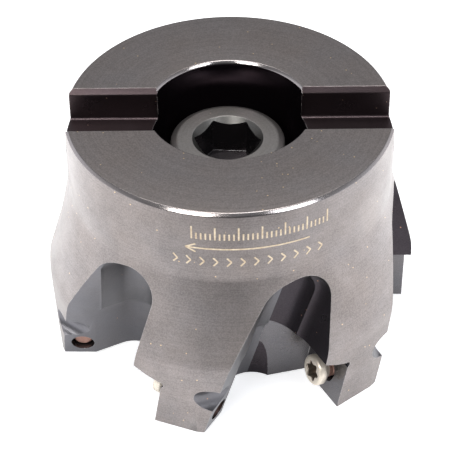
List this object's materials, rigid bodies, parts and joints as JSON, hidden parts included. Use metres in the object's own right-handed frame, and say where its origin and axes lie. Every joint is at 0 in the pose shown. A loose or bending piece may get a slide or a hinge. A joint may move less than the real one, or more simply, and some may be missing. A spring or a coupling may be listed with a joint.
{
  "type": "face mill",
  "caption": "Shell-type indexable face mill body with a keyed hub, pilot bore, socket head arbor screw and screws in open insert pockets round its rim.",
  "frame": {"origin": "cutter axis at the plane of the tooth tips, on which the cutter stands", "axes": "+Z along the cutter axis towards the arbor face; +X along the drive slot"},
  "size_m": [0.0616, 0.0616, 0.0432],
  "materials": {
    "body_black_oxide": "satin black oxide, worn to bare steel along edges",
    "arbor_screw_black": "satin black oxide",
    "insert_screw_steel": "bright plated steel with a warm cast"
  },
  "bodies": {
    "cutter": {"cutter_body": "body_black_oxide"},
    "arbor_screw": {"arbor_screw": "arbor_screw_black"},
    "insert_screw_1": {"insert_screw_1": "insert_screw_steel"},
    "insert_screw_2": {"insert_screw_2": "insert_screw_steel"},
    "insert_screw_3": {"insert_screw_3": "insert_screw_steel"},
    "insert_screw_4": {"insert_screw_4": "insert_screw_steel"},
    "insert_screw_5": {"insert_screw_5": "insert_screw_steel"},
    "insert_screw_6": {"insert_screw_6": "insert_screw_steel"}
  },
  "joints": [
    {"name": "arbor_screw_lift", "type": "slide", "parent": "cutter", "child": "arbor_screw", "axis": [0, 0, 1], "range_m": [0, 0.041]},
    {"name": "insert_screw_1_travel", "type": "slide", "parent": "cutter", "child": "insert_screw_1", "axis": [-0.8399, 0.5107, 0.184], "range_m": [0, 0.01]},
    {"name": "insert_screw_2_travel", "type": "slide", "parent": "cutter", "child": "insert_screw_2", "axis": [-0.8622, -0.472, 0.184], "range_m": [0, 0.01]},
    {"name": "insert_screw_3_travel", "type": "slide", "parent": "cutter", "child": "insert_screw_3", "axis": [-0.0223, -0.9827, 0.184], "range_m": [0, 0.01]},
    {"name": "insert_screw_4_travel", "type": "slide", "parent": "cutter", "child": "insert_screw_4", "axis": [0.8399, -0.5107, 0.184], "range_m": [0, 0.01]},
    {"name": "insert_screw_5_travel", "type": "slide", "parent": "cutter", "child": "insert_screw_5", "axis": [0.8622, 0.472, 0.184], "range_m": [0, 0.01]},
    {"name": "insert_screw_6_travel", "type": "slide", "parent": "cutter", "child": "insert_screw_6", "axis": [0.0223, 0.9827, 0.184], "range_m": [0, 0.01]}
  ]
}
